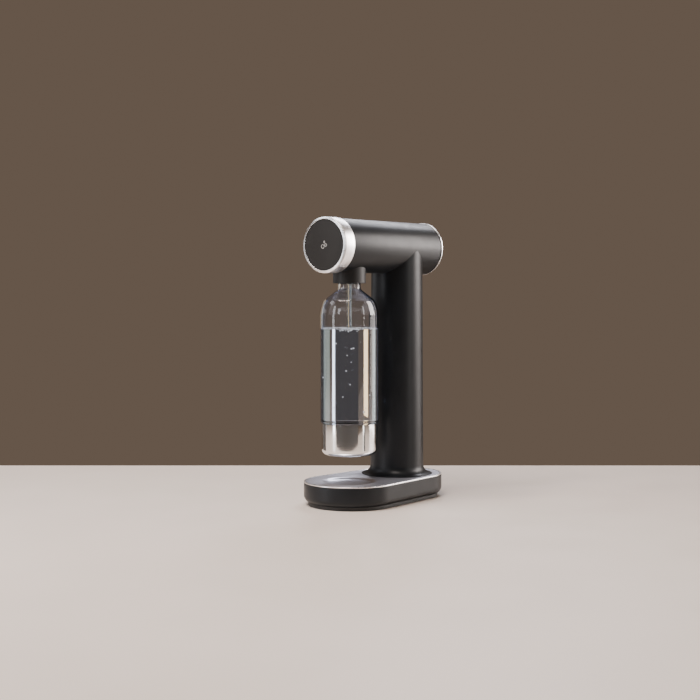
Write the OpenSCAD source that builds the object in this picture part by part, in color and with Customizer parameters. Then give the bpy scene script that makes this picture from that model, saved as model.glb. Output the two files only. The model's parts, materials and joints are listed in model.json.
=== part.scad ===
// Manual soda carbonator: a horizontal head on a round column, over a pill-shaped base.
// The bottle hangs from a collar under the head, and the gas cylinder stands in the column.
// Frame: +Z up, the button faces -Y, origin at the centre of the footprint on the table.

/* [Overall] */
// Height of the head's axis above the table
head_z = 375.6; // [320:0.1:460]
// Distance between the column's axis and the bottle's axis
reach = 110.2; // [100:0.1:135]

/* [Column] */
// Radius of the gas cylinder that stands in the column
cylinder_r = 30; // [25:0.5:36]
// Space between the gas cylinder and the column's bore
guide_gap = 5.6; // [4.5:0.1:8]
// Thinnest wall of the column, at its top
column_wall = 3.05; // [2.5:0.05:4]
// How much the column's radius grows from its top to its foot
column_draft = 1.35; // [0.5:0.05:3]
// Radius of the concave flare at the column's foot
flare_w = 13.3; // [8:0.1:16]

/* [Head] */
// Distance from the bottle's axis to the front of the head
head_front = 55.6; // [50:0.1:62]
// Distance from the column's axis to the back of the head
head_back = 62.8; // [58:0.1:70]
// How much the head shell's radius exceeds the column's top radius
saddle_step = 0.45; // [0.3:0.05:2]
// How far the metal trim rings stand proud of the head shell
trim_proud = 1.1; // [0.6:0.1:2]
// Wall of the head shell
head_wall = 2.4; // [2:0.1:3]
// Length of the brushed metal band
band_l = 18.65; // [12:0.05:26]
// Length of the thin polished front ring
front_ring_l = 1.9; // [1.5:0.1:3]
// Width of the dark groove between the front ring and the band
groove_w = 1.1; // [0.8:0.1:2]
// Length of the thin polished back ring
back_ring_l = 1.8; // [1.5:0.1:3]

/* [Button] */
// Gap around the round front button
button_gap = 0.35; // [0.3:0.05:0.6]
// How far the button is pushed in
button_travel = 5; // [3:0.5:6]
// Length of the button's skirt
skirt_l = 14; // [10:0.5:16]

/* [Linkage] */
// Depth of the chassis plate's underside below the head's axis
chassis_drop = 21.6; // [20:0.1:22]
// Thickness of the chassis plate
chassis_t = 3; // [2.5:0.1:3.5]
// Lever arm from the pivot up to the push rod
lever_up = 20; // [18:0.5:22]
// Lever arm from the pivot out to the plunger
lever_out = 10; // [10:0.5:11]
// Radius of the push rod
rod_r = 3; // [2.5:0.1:3.5]
// Radius of the lever's pivot pin
pin_r = 2; // [1.5:0.1:2.5]
// Running clearance of pins and rods in their bores
run_gap = 0.05; // [0.03:0.01:0.1]

/* [Bottle] */
// Radius of the bottle's body
bottle_r = 41.95; // [36:0.05:50.5]
// Gap between the bottle's foot and the steel plate
bottle_lift = 38.7; // [38:0.1:50]
// Radius of the dome that forms the bottle's shoulder
shoulder_r = 39; // [34:0.1:41]
// Outer radius of the bottle's neck
neck_r = 16.3; // [14:0.1:18]
// Height of the neck above the end of its fillet
neck_h = 25; // [22:0.1:28]
// Wall of the bottle
bottle_wall = 1.6; // [1.2:0.1:2]
// Height of the steel cup at the bottle's foot
cup_h = 45.4; // [35:0.1:55]
// How much smaller the cup is than the bottle, in radius
cup_step = 1.6; // [1:0.1:3]
// Length of the carbonating tube below the collar
tube_drop = 69.3; // [55:0.1:75]

/* [Base] */
// Height of the base to the top of its trim ring
base_h = 34.6; // [32:0.1:44]
// Width of the base beyond the flare, at the back
base_margin = 8.8; // [8:0.1:14]
// How much wider the front of the base is than its back, in radius
base_widen = 6.4; // [2:0.1:12]
// Radius of the base's lower edge
base_edge_r = 9; // [6:0.5:10]
// Height of the foot ring
foot_h = 5; // [4:0.5:6]
// Depth of the dish under the bottle
dish_depth = 3; // [2:0.1:3.2]
// Flat land between the dish and the column's flare
dish_land = 17.3; // [14:0.1:24]

/* [Hidden] */
$fn = 96;
eps = 0.01;
hull_fn = 72;

// Clearance of pieces that only sit beside or inside each other
fit = 0.1;
// Radii of the column, head and base
column_bore_r = cylinder_r + guide_gap;
column_top_r = column_bore_r + column_wall;
column_foot_r = column_top_r + column_draft;
flare_r = column_foot_r + flare_w;
flare_lip = 1;
shell_r = column_top_r + saddle_step;
head_r = shell_r + trim_proud;
bore_r = shell_r - head_wall;
base_back_r = flare_r + base_margin;
base_front_r = base_back_r + base_widen;

// The saddle's two tips end where they are this thick
saddle_tip = 0.4;
saddle_r = shell_r + 0.05;
saddle_top = head_z - sqrt(pow(saddle_r, 2) - pow(column_top_r - saddle_tip, 2));

// Places along Y: the base's end circles sit a little behind the bottle and the column
front_set = 3.6;
back_set = 9.2;
base_l = reach - front_set + back_set + base_front_r + base_back_r;
column_y = base_l / 2 - base_back_r - back_set;
bottle_y = column_y - reach;
front_c = bottle_y + front_set;
back_c = column_y + back_set;
head_front_y = bottle_y - head_front;
head_back_y = column_y + head_back;
groove_y = head_front_y + front_ring_l;
band_y = groove_y + groove_w;
band_end_y = band_y + band_l;
shell_end_y = head_back_y - back_ring_l;

// Heights in the base
base_wall = 3;
trim_h = 1.7;
trim_w = 2.6;
trim_inset = 0.3;
groove_h = 1.4;
groove_d = 1.8;
plate_t = 1;
plate_top = base_h - 0.3;
plate_inset = trim_inset + trim_w + 0.4;
deck_top = plate_top - plate_t;
deck_t = 2.6;
foot_inset = 6.3;
foot_w = 8.5;
cover_inset = base_edge_r + 2.3;
cover_z = foot_h + 0.5;
cover_t = 2.5;
cover_top = cover_z + cover_t;
dish_r = reach - flare_r - dish_land;
dish_slope = 5;
pocket_gap = 0.8;
pocket_z = deck_top - dish_depth - 0.6;
pocket_wall = 2;
pocket_floor_t = 2.4;
trim_edge = 0.5;
trim_rebate = 1.3;

// Screws of the bottom cover: four round the front circle and one at the back
cover_boss_r = 4;
cover_screw_margin = 18;
cover_ring_r = base_front_r - cover_screw_margin;
cover_points = concat(
    [for (a = [33, 147, 209, 331]) [cover_ring_r * cos(a), front_c + cover_ring_r * sin(a)]],
    [[0, back_c + base_back_r - cover_screw_margin]]
);

// The well that takes the column's spigot, and the ledge that it stands on
spigot_r = column_bore_r + 2.4;
spigot_bore_r = cylinder_r + 4;
well_r = spigot_r + 0.3;
well_wall = 3;
ledge_z = cover_top + 4;
ledge_t = 3;
spigot_z = ledge_z + ledge_t + 0.2;
screw_ring_r = (spigot_r + spigot_bore_r) / 2;
column_screw_angles = [85, 205, 325];
spigot_bore_top = plate_top + 16;
bore_cone_h = 4;

// The door under the gas cylinder and its bayonet lugs
door_r = spigot_bore_r - 0.1;
door_gap = 0.3;
lug_r = spigot_r - 1.5;
lug_angles = [0, 120, 240];
lug_span = 20;
door_turn = 30;
door_top = cover_top + 3.8;
grip_w = 7;
grip_depth = 1.6;
grip_rim_w = 9;

// Heights in the head
chassis_z = head_z - chassis_drop;
chassis_top = chassis_z + chassis_t;
chassis_half_w = sqrt(bore_r * bore_r - chassis_drop * chassis_drop) - 0.6;
collar_r = neck_r + 7.44;
collar_z = head_z - 54.3;
holder_neck_r = neck_r + 6;
holder_bore_r = neck_r + 3.9;
column_opening_r = column_bore_r - 1.1;
column_neck_r = column_opening_r - 0.2;
column_neck_bore_r = column_neck_r - 2.8;
boss_ring_r = cylinder_r - 1;
boss_r = 3.5;
boss_z = chassis_z - 26;
collar_step = 4;

// Guide rings round the gas cylinder: two, at shares of the straight bore
guide_h = 10;
guide_shares = [0.3, 0.75];
guide_play = 0.6;

// Seats of the band, the back cap and the chassis plate
band_seat_t = 1.5;
cap_rebate = 2.3;
cap_recess = 0.4;
cap_skirt_l = 8;
cap_skirt_t = 1.9;
chassis_front = 25;
chassis_back = 37;
bearing_land = 2.5;

// Valve block over the gas cylinder
block_r = 20;
block_h = 24;
block_z = chassis_z - block_h;
socket_top = chassis_z - 2;
block_neck_r = 8.5;
block_neck_h = 10.5;
block_boss_r = 7.5;
block_top = chassis_z + 18.5;
block_screw_r = 17;
valve_thread_r = 10.3;
valve_top = socket_top - 1.5;
valve_bore_r = 2.2;
valve_bore_depth = 9.5;
stem_reach = 3.5;
shoulder_gap = 1;
stem_r = 1.5;
spring_pocket_r = 4.6;
spring_pocket_depth = 8;
plunger_head_r = 4;
plunger_head_t = 2.2;
plunger_head_z = block_top + 2;
plunger_travel = button_travel * lever_out / lever_up;

// Lever and push rod
touch_gap = 0.3;
lever_tip_r = 3;
lever_hub_r = 5;
lever_arm_w = 5.2;
lever_t = 6;
pivot_y = column_y - lever_out;
pivot_z = plunger_head_z + plunger_head_t + touch_gap + lever_tip_r;
rod_z = pivot_z + lever_up;
rod_end_y = pivot_y - lever_tip_r - touch_gap;
ear_t = 3;
ear_x = lever_t / 2 + 5.6;
ear_half_w = 4;
post_ys = [bottle_y + 42, pivot_y - 21];
post_t = 5;
post_half_w = 6;
clip_t = 1;
clip_r = rod_r + 2.5;

// Button
button_r = bore_r - button_gap;
disc_recess = 0.8;
disc_t = 1.6;
disc_y = head_front_y + disc_recess;
button_plate_t = 2.4;
button_back_y = disc_y + disc_t + skirt_l;
button_boss_r = rod_r + 3;
button_boss_l = 12;

// Nozzle block over the bottle, its tube and its seal
nozzle_r = neck_r - 3.5;
nozzle_flange_r = holder_neck_r - 0.3;
nozzle_flange_t = 2;
nozzle_top = chassis_top + 9.3;
nozzle_screw_r = (nozzle_r + holder_neck_r) / 2;
stem_z = chassis_z - 23;
mouth_z = head_z - 37.2;
seal_z = mouth_z + 0.4;
seal_t = 2.2;
holder_ceiling = seal_z + seal_t;
nozzle_stem_r = 5.4;
tube_r = 3.7;
tube_bore_r = 1.7;
tube_tip_z = collar_z - tube_drop;
tip_h = 6;
screw_angles = [90, 180, 270];

// Gas tube: two bends and a straight run beside the linkage
gas_r = 1.6;
gas_bore_r = 0.9;
gas_x = 14;
gas_bend_r = 3.5;
gas_z = chassis_top + 5.3;
gas_inlet_x = 7;
fitting_r = 3;
fitting_l = 1.8;

// Gas cylinder
vessel_z = door_top + 1.7;
vessel_wall = 2.4;
vessel_top = block_z - 12;
vessel_neck_r = 13;
vessel_neck_h = 8;
vessel_dome_r = 24;
vessel_mouth_r = 8;

// Bottle
cup_r = bottle_r - cup_step;
cup_wall = 0.8;
cup_edge_r = 9;
bottle_z = plate_top + bottle_lift;
cup_top = bottle_z + cup_h;
foot_r = cup_r - cup_wall - 0.2;
bottle_floor_z = bottle_z + cup_wall + 0.4;
bottle_step_z = cup_top + 2.5;
foot_edge_r = 12;
neck_fillet_r = 4;
neck_z = mouth_z - neck_h;
fillet_x = neck_r + neck_fillet_r;
dome_x = bottle_r - shoulder_r;
dome_z = neck_z - sqrt(pow(shoulder_r + neck_fillet_r, 2) - pow(fillet_x - dome_x, 2));
mouth_r = neck_r - 2.7;
thread_bead_r = 1;

// Screws, in one size
screw_r = 1.5;
screw_hole_r = 1.6;
screw_pilot_r = 1.52;
screw_head_r = 2.8;
screw_head_t = 2.2;
drive_r = 1;
drive_depth = 1.2;
short_bite = 6;
screw_bite = 8;
long_bite = 12;
pilot_end = 4;

// ---------- shared shapes ----------

// Outline of the base, shrunk by an even inset: two circles and the strip that is tangent to both
module pill(inset) {
    rf = base_front_r - inset;
    rb = base_back_r - inset;
    t = asin((rf - rb) / (back_c - front_c));
    union() {
        translate([0, front_c])
            circle(r = rf);
        translate([0, back_c])
            circle(r = rb);
        polygon([
            [rf * cos(t), front_c + rf * sin(t)],
            [rb * cos(t), back_c + rb * sin(t)],
            [-rb * cos(t), back_c + rb * sin(t)],
            [-rf * cos(t), front_c + rf * sin(t)]
        ]);
    }
}

// Upright prism of the base's outline
module pill_block(inset, z0, z1) {
    translate([0, 0, z0])
        linear_extrude(z1 - z0)
            pill(inset);
}

// Upright ring: a tube between two radii
module tube_z(r_out, r_in, z0, z1) {
    translate([0, 0, z0])
        linear_extrude(z1 - z0)
            difference() {
                circle(r = r_out);
                circle(r = r_in);
            }
}

// Upright rod
module rod_z(r, z0, z1) {
    translate([0, 0, z0])
        cylinder(r = r, h = z1 - z0);
}

// Rod along Y, through the given X and Z
module rod_y(r, y0, y1, x = 0, z = 0) {
    translate([x, y0, z])
        rotate([-90, 0, 0])
            cylinder(r = r, h = y1 - y0);
}

// Ring along Y about the head's axis
module head_ring(r_out, r_in, y0, y1) {
    translate([0, y0, head_z])
        rotate([-90, 0, 0])
            linear_extrude(y1 - y0)
                difference() {
                    circle(r = r_out);
                    circle(r = r_in);
                }
}

// Pan-head screw, head down at z = 0 and shank up to the given length
module screw_up(length) {
    difference() {
        union() {
            rod_z(screw_head_r, 0, screw_head_t);
            rod_z(screw_r, screw_head_t - eps, screw_head_t + length);
        }
        translate([0, 0, -eps])
            cylinder(r = drive_r, h = drive_depth, $fn = 6);
    }
}

// The same screw, head up
module screw_down(length) {
    mirror([0, 0, 1])
        screw_up(length);
}

// ---------- base ----------

// The two end circles of the outline in flat facets, as a thin or thick slice
module end_slices(inset, z0, z1) {
    translate([0, 0, z0])
        linear_extrude(z1 - z0) {
            translate([0, front_c])
                circle(r = base_front_r - inset, $fn = hull_fn);
            translate([0, back_c])
                circle(r = base_back_r - inset, $fn = hull_fn);
        }
}

// Upright prism of the outline in flat facets, for the base's rounded housing
module facet_block(inset, z0, z1) {
    hull()
        end_slices(inset, z0, z1);
}

// Convex outside of the base: slices of the outline, rounded along its lower edge
module base_outside() {
    hull() {
        end_slices(0, foot_h + base_edge_r, deck_top - groove_h);
        for (a = [15 : 15 : 90])
            end_slices(
                base_edge_r * (1 - cos(a)),
                foot_h + base_edge_r * (1 - sin(a)),
                foot_h + base_edge_r * (1 - sin(a)) + eps
            );
    }
}

// Black moulded housing of the base, open underneath, with the well for the column
module base_shell() {
    color("#26262a")
        difference() {
            union() {
                difference() {
                    union() {
                        base_outside();
                        facet_block(groove_d, foot_h + base_edge_r + 2, deck_top);
                    }
                    facet_block(base_wall, foot_h + base_edge_r, deck_top - deck_t);
                    facet_block(cover_inset, foot_h - 1, foot_h + base_edge_r + 1);
                }
                translate([0, column_y, 0])
                    rod_z(well_r + well_wall, cover_top, deck_top - 1);
                translate([0, bottle_y, 0])
                    rod_z(dish_r + pocket_gap + pocket_wall, pocket_z - pocket_floor_t, deck_top - 1);
                for (p = cover_points)
                    translate([p[0], p[1], 0])
                        rod_z(cover_boss_r, cover_top, deck_top - 1);
            }
            // Well, ledge and opening for the cylinder
            translate([0, column_y, 0])
                rotate_extrude()
                    polygon([
                        [0, cover_top - 1],
                        [well_r + 1, cover_top - 1],
                        [well_r + 1, ledge_z],
                        [spigot_bore_r, ledge_z],
                        [spigot_bore_r, ledge_z + ledge_t],
                        [well_r, ledge_z + ledge_t],
                        [well_r, deck_top + 1],
                        [0, deck_top + 1]
                    ]);
            // Pocket under the dish
            translate([0, bottle_y, 0])
                rod_z(dish_r + pocket_gap, pocket_z, deck_top + 1);
            // Screw holes
            for (a = column_screw_angles)
                translate([screw_ring_r * cos(a), column_y + screw_ring_r * sin(a), 0])
                    rod_z(screw_hole_r, ledge_z - 1, ledge_z + ledge_t + 1);
            for (p = cover_points)
                translate([p[0], p[1], 0])
                    rod_z(screw_pilot_r, cover_top - 1, cover_top + screw_bite + pilot_end);
        }
}

// Thin polished ring round the top of the base
module base_trim_ring() {
    color("#d5d5d5")
        difference() {
            hull() {
                pill_block(trim_inset, base_h - trim_h, base_h - trim_edge);
                pill_block(trim_inset + trim_edge, base_h - trim_h, base_h);
            }
            pill_block(trim_inset + trim_w, base_h - trim_h - 1, base_h + 1);
            pill_block(trim_inset + trim_rebate, base_h - trim_h - 1, deck_top);
        }
}

// Profile of the plate's dish, from the axis out to its lip
module dish_profile(top) {
    polygon([
        [0, top - dish_depth],
        [dish_r - dish_slope, top - dish_depth],
        [dish_r, top],
        [dish_r, top + 2],
        [0, top + 2]
    ]);
}

// Brushed steel plate with the dish under the bottle
module base_plate() {
    color("#b9b9bd")
        difference() {
            union() {
                pill_block(plate_inset, deck_top, plate_top);
                translate([0, bottle_y, 0])
                    rod_z(dish_r + pocket_gap - 0.3, deck_top - dish_depth - 0.2, deck_top + eps);
            }
            translate([0, bottle_y, 0])
                rotate_extrude()
                    dish_profile(plate_top);
            translate([0, bottle_y, 0])
                rotate_extrude()
                    difference() {
                        translate([0, deck_top - dish_depth - 1])
                            square([dish_r + 5, dish_depth + 1]);
                        polygon([
                            [0, deck_top - dish_depth],
                            [dish_r - dish_slope, deck_top - dish_depth],
                            [dish_r + 0.3, deck_top + 1],
                            [0, deck_top + 1]
                        ]);
                    }
            translate([0, column_y, 0])
                rod_z(spigot_r + 0.4, deck_top - 1, plate_top + 1);
        }
}

// Rubber ring that the machine stands on
module foot_ring() {
    color("#1b1b1d")
        difference() {
            pill_block(foot_inset, 0, foot_h);
            pill_block(foot_inset + foot_w, -1, foot_h + 1);
        }
}

// Cover that closes the base from below, with the opening for the gas cylinder
module bottom_cover() {
    color("#2a2a2c")
        difference() {
            pill_block(cover_inset + 0.3, cover_z, cover_top);
            translate([0, column_y, 0])
                rod_z(door_r + door_gap, cover_z - 1, cover_top + 1);
            for (a = lug_angles)
                translate([0, column_y, cover_z - 1])
                    rotate([0, 0, a + door_turn])
                        lug_sector(lug_r + door_gap, lug_span + 3, cover_t + 2);
            for (p = cover_points)
                translate([p[0], p[1], 0])
                    rod_z(screw_hole_r, cover_z - 1, cover_top + 1);
        }
}

// Sector of a disc, used for the door's lugs and for their slots
module lug_sector(r, span, h) {
    linear_extrude(h)
        intersection() {
            circle(r = r);
            polygon([
                [0, 0],
                [2 * r * cos(span / 2), -2 * r * sin(span / 2)],
                [2 * r, 0],
                [2 * r * cos(span / 2), 2 * r * sin(span / 2)]
            ]);
        }
}

// Screws of the bottom cover, heads down
module base_screws() {
    color("#8d8d90")
        for (p = cover_points)
            translate([p[0], p[1], cover_z - screw_head_t])
                screw_up(cover_t + screw_bite);
}

// Round bayonet door under the gas cylinder, with a grip bar across its underside
module cylinder_door() {
    color("#2f2f32")
        translate([0, column_y, 0])
            difference() {
                union() {
                    rod_z(door_r, cover_z, cover_top);
                    rod_z(door_r - 2, cover_top - eps, door_top);
                    for (a = lug_angles)
                        translate([0, 0, cover_top + 0.3])
                            rotate([0, 0, a])
                                lug_sector(lug_r, lug_span, door_top - cover_top - 0.3);
                }
                // Shallow finger recess either side of the grip bar
                translate([0, 0, cover_z - eps])
                    linear_extrude(grip_depth)
                        difference() {
                            circle(r = door_r - grip_rim_w);
                            square([grip_w, 2 * door_r], center = true);
                        }
            }
}

// ---------- column ----------

// Outside of the column: a slight taper and a concave flare at its foot
module column_profile() {
    difference() {
        polygon([
            [0, plate_top],
            [flare_r, plate_top],
            [flare_r, plate_top + flare_lip],
            [column_foot_r, plate_top + flare_lip + flare_w],
            [column_top_r, saddle_top],
            [0, saddle_top]
        ]);
        translate([flare_r, plate_top + flare_lip + flare_w])
            circle(r = flare_w);
    }
}

// Inside of the column: spigot bore, cone up to the cylinder's bore, and the narrower collar on top
module column_bore() {
    rotate_extrude()
        polygon([
            [0, spigot_z - 1],
            [spigot_bore_r, spigot_z - 1],
            [spigot_bore_r, spigot_bore_top],
            [column_bore_r, spigot_bore_top + bore_cone_h],
            [column_bore_r, boss_z - collar_step],
            [column_neck_bore_r, boss_z - collar_step],
            [column_neck_bore_r, head_z],
            [0, head_z]
        ]);
    tube_z(column_bore_r, column_neck_r, boss_z + collar_step, head_z);
}

// Moulded column with its saddle under the head, the spigot in the base and the neck into the head
module column_shell() {
    color("#26262a")
        translate([0, column_y, 0])
            difference() {
                union() {
                    difference() {
                        union() {
                            difference() {
                                rotate_extrude()
                                    column_profile();
                                rod_y(saddle_r, -90, 90, 0, head_z);
                            }
                            rod_z(spigot_r, spigot_z, plate_top + 1);
                            rod_z(column_neck_r, boss_z, chassis_z);
                        }
                        column_bore();
                    }
                    for (a = [45 : 90 : 315])
                        rotate([0, 0, a])
                            translate([boss_ring_r, 0, 0])
                                rod_z(boss_r, boss_z, chassis_z);
                }
                for (a = [45 : 90 : 315])
                    rotate([0, 0, a])
                        translate([boss_ring_r, 0, 0])
                            rod_z(screw_pilot_r, chassis_z - screw_bite - pilot_end, chassis_z + 1);
                for (a = column_screw_angles)
                    rotate([0, 0, a])
                        translate([screw_ring_r, 0, 0])
                            rod_z(screw_pilot_r, spigot_z - 1, spigot_z + long_bite + pilot_end);
            }
}

// Screws through the ledge of the well, up into the column's spigot
module column_screws() {
    color("#8d8d90")
        for (a = column_screw_angles)
            translate([screw_ring_r * cos(a), column_y + screw_ring_r * sin(a), ledge_z - screw_head_t])
                screw_up(ledge_t + long_bite);
}

// Two ribbed rings that centre the gas cylinder in the column
module cylinder_guides() {
    bore_z = spigot_bore_top + bore_cone_h;
    span = boss_z - collar_step - bore_z;
    color("#d9d9d6")
        translate([0, column_y, 0])
            for (share = guide_shares)
                translate([0, 0, bore_z + share * span])
                    difference() {
                        rod_z(column_bore_r - fit, 0, guide_h);
                        rod_z(cylinder_r + guide_play, -1, guide_h + 1);
                        for (a = [0 : 45 : 315])
                            rotate([0, 0, a])
                                translate([cylinder_r + guide_gap / 2, 0, 0])
                                    rod_z(guide_gap * 0.3, -1, guide_h + 1);
                    }
}

// ---------- head ----------

// Black tube of the head, thinner under the band, open at both ends
module head_shell() {
    color("#26262a")
        difference() {
            union() {
                head_ring(shell_r, bore_r, band_end_y, shell_end_y);
                head_ring(bore_r + band_seat_t, bore_r, groove_y, band_end_y + eps);
            }
            translate([0, bottle_y, 0])
                rod_z(holder_neck_r + fit, head_z - shell_r - 1, head_z);
            translate([0, column_y, 0])
                rod_z(column_opening_r, head_z - shell_r - 1, head_z);
        }
}

// Wide brushed metal band
module front_band() {
    color("#c9c9cc")
        head_ring(head_r, bore_r + band_seat_t + run_gap, band_y, band_end_y);
}

// Thin polished ring round the button
module front_ring() {
    color("#e2e2e2")
        head_ring(head_r, bore_r, head_front_y, groove_y);
}

// Round cap that closes the back of the head
module back_cap() {
    color("#242427")
        union() {
            head_ring(head_r - cap_rebate, 0, shell_end_y, head_back_y - cap_recess);
            head_ring(
                bore_r - fit, bore_r - fit - cap_skirt_t,
                shell_end_y - cap_skirt_l, shell_end_y + eps
            );
        }
}

// Thin polished ring round the back cap
module back_ring() {
    color("#e2e2e2")
        head_ring(head_r, head_r - cap_rebate + fit, shell_end_y, head_back_y);
}

// Chassis plate that ties the column, the bottle holder and the linkage together
module head_chassis() {
    color("#7c7f84")
        difference() {
            union() {
                translate([-chassis_half_w, bottle_y - chassis_front, chassis_z])
                    cube([2 * chassis_half_w, chassis_front + reach + chassis_back, chassis_t]);
                for (y = post_ys)
                    translate([-post_half_w, y, chassis_top - eps])
                        cube([2 * post_half_w, post_t, rod_z + rod_r + bearing_land - chassis_top]);
                for (s = [-1, 1])
                    translate([s * ear_x - ear_t / 2, pivot_y - ear_half_w, chassis_top - eps])
                        cube([ear_t, 2 * ear_half_w, pivot_z + pin_r + bearing_land - chassis_top]);
            }
            // Bores for the push rod and the lever's pin
            rod_y(rod_r + run_gap, bottle_y, column_y, 0, rod_z);
            translate([-20, pivot_y, pivot_z])
                rotate([0, 90, 0])
                    cylinder(r = pin_r + 0.02, h = 40);
            // Openings for the valve block and the nozzle block
            translate([0, column_y, 0])
                rod_z(block_neck_r + 0.2, chassis_z - 1, chassis_top + 1);
            translate([0, bottle_y, 0])
                rod_z(nozzle_r + 0.2, chassis_z - 1, chassis_top + 1);
            // Screw holes
            for (a = screw_angles) {
                translate([block_screw_r * cos(a), column_y + block_screw_r * sin(a), 0])
                    rod_z(screw_hole_r, chassis_z - 1, chassis_top + 1);
                translate([nozzle_screw_r * cos(a), bottle_y + nozzle_screw_r * sin(a), 0])
                    rod_z(screw_hole_r, chassis_z - 1, chassis_top + 1);
            }
            for (a = [45 : 90 : 315])
                translate([boss_ring_r * cos(a), column_y + boss_ring_r * sin(a), 0])
                    rod_z(screw_hole_r, chassis_z - 1, chassis_top + 1);
        }
}

// Screws that hold the chassis to the column
module chassis_screws() {
    color("#8d8d90")
        for (a = [45 : 90 : 315])
            translate([boss_ring_r * cos(a), column_y + boss_ring_r * sin(a), chassis_top + screw_head_t])
                screw_down(chassis_t + screw_bite);
}

// ---------- button and linkage ----------

// Dark satin disc on the front of the button
module button_disc() {
    color("#3a3a3d")
        head_ring(button_r, 0, disc_y, disc_y + disc_t);
}

// Moulded cup behind the disc, guided by the head's bore
module button_body() {
    color("#1f1f22")
        difference() {
            union() {
                head_ring(button_r, 0, disc_y + disc_t, disc_y + disc_t + button_plate_t);
                head_ring(button_r, button_r - 2, disc_y + disc_t, button_back_y);
                rod_y(button_boss_r, disc_y + disc_t, disc_y + disc_t + button_boss_l, 0, rod_z);
            }
            rod_y(rod_r + 0.02, disc_y + disc_t + button_plate_t, button_back_y + 1, 0, rod_z);
        }
}

// Steel rod from the button back to the lever
module push_rod() {
    color("#b5b5b8")
        rod_y(rod_r, disc_y + disc_t + button_plate_t, rod_end_y, 0, rod_z);
}

// Retaining ring on the rod: it holds the button in
module rod_clip() {
    y = post_ys[0] + post_t + 0.2;
    color("#9a9a9d")
        translate([0, y, rod_z])
            rotate([-90, 0, 0])
                linear_extrude(clip_t)
                    difference() {
                        circle(r = clip_r);
                        circle(r = rod_r + 0.02);
                        translate([-1, 0])
                            square([2, clip_r + 1]);
                    }
}

// Bell-crank lever: the rod pushes its upper arm, and its rear arm presses the plunger
module lever() {
    color("#a2a4a8")
        translate([-lever_t / 2, pivot_y, pivot_z])
            rotate([90, 0, 90])
                linear_extrude(lever_t)
                    difference() {
                        union() {
                            circle(r = lever_hub_r);
                            translate([0, lever_up])
                                circle(r = lever_tip_r);
                            translate([lever_out, 0])
                                circle(r = lever_tip_r);
                            translate([-lever_arm_w / 2, 0])
                                square([lever_arm_w, lever_up]);
                            translate([0, -lever_arm_w / 2])
                                square([lever_out, lever_arm_w]);
                        }
                        circle(r = pin_r + run_gap);
                    }
}

// Pivot pin of the lever, held in the chassis ears
module lever_pin() {
    half = ear_x + ear_t / 2 + 0.5;
    color("#b5b5b8")
        translate([-half, pivot_y, pivot_z])
            rotate([0, 90, 0])
                cylinder(r = pin_r, h = 2 * half);
}

// ---------- gas valve ----------

// Brass block that the gas cylinder screws into, with the plunger's bore
module valve_block() {
    color("#b08d4c")
        translate([0, column_y, 0])
            difference() {
                union() {
                    rod_z(block_r, block_z, chassis_z);
                    rod_z(block_neck_r, chassis_z - eps, chassis_z + block_neck_h);
                    rod_z(block_boss_r, chassis_z + block_neck_h - eps, block_top);
                }
                rod_z(valve_thread_r + 0.15, block_z - 1, socket_top);
                rod_z(stem_r + run_gap, socket_top - 1, block_top);
                rod_z(spring_pocket_r, block_top - spring_pocket_depth, block_top + 1);
                for (a = screw_angles)
                    rotate([0, 0, a])
                        translate([block_screw_r, 0, 0])
                            rod_z(screw_pilot_r, chassis_z - short_bite - pilot_end, chassis_z + 1);
                // Outlet towards the gas tube
                translate([stem_r, 0, gas_z])
                    rotate([0, 90, 0])
                        cylinder(r = gas_bore_r, h = block_r);
            }
}

// Screws that hold the valve block under the chassis
module valve_block_screws() {
    color("#8d8d90")
        for (a = screw_angles)
            translate([block_screw_r * cos(a), column_y + block_screw_r * sin(a), 0])
                translate([0, 0, chassis_top + screw_head_t])
                    screw_down(chassis_t + short_bite);
}

// Rubber washer between the gas cylinder's valve and the block
module cylinder_seal() {
    color("#151515")
        translate([0, column_y, 0])
            tube_z(valve_thread_r - 0.6, valve_bore_r + 0.4, valve_top, socket_top);
}

// Plunger that opens the gas cylinder's valve
module plunger() {
    color("#c2c2c5")
        translate([0, column_y, 0])
            union() {
                rod_z(stem_r, valve_top - stem_reach, plunger_head_z + eps);
                rod_z(plunger_head_r, plunger_head_z, plunger_head_z + plunger_head_t);
            }
}

// Points of one ring of the spring's wire at a given turn angle
function wire_ring(a, r, pitch, wire, sides) = [
    for (i = [0 : sides - 1])
        let(b = 360 * i / sides, q = r + wire * cos(b))
            [q * cos(a), q * sin(a), pitch * a / 360 + wire * sin(b)]
];

// Compression spring under the plunger's head
module plunger_spring() {
    wire = 0.45;
    turns = 5;
    sides = 6;
    per_turn = 16;
    n = turns * per_turn;
    z0 = block_top - spring_pocket_depth;
    pitch = (plunger_head_z - z0 - 2 * wire - 0.1) / turns;
    r = (stem_r + spring_pocket_r) / 2;
    points = [
        for (k = [0 : n])
            each wire_ring(360 * k / per_turn, r, pitch, wire, sides)
    ];
    faces = [
        for (k = [0 : n - 1], i = [0 : sides - 1])
            let(j = (i + 1) % sides, p = k * sides)
                [p + i, p + sides + i, p + sides + j, p + j]
    ];
    color("#c8c8cb")
        translate([0, column_y, z0 + wire + 0.05])
            polyhedron(
                points = points,
                faces = concat(
                    faces,
                    [[for (i = [0 : sides - 1]) i]],
                    [[for (i = [sides - 1 : -1 : 0]) n * sides + i]]
                )
            );
}

// Quarter bend of the gas tube in a level plane, from +X round to the given side
module gas_bend(y, side) {
    translate([gas_x - gas_bend_r, y + side * gas_bend_r, gas_z])
        rotate([0, 0, side > 0 ? -90 : 0])
            rotate_extrude(angle = 90)
                translate([gas_bend_r, 0])
                    difference() {
                        circle(r = gas_r);
                        circle(r = gas_bore_r);
                    }
}

// Level piece of the gas tube along X
module gas_stub(y, x0) {
    translate([x0, y, gas_z])
        rotate([0, 90, 0])
            tube_z(gas_r, gas_bore_r, 0, gas_x - gas_bend_r - x0);
}

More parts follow.
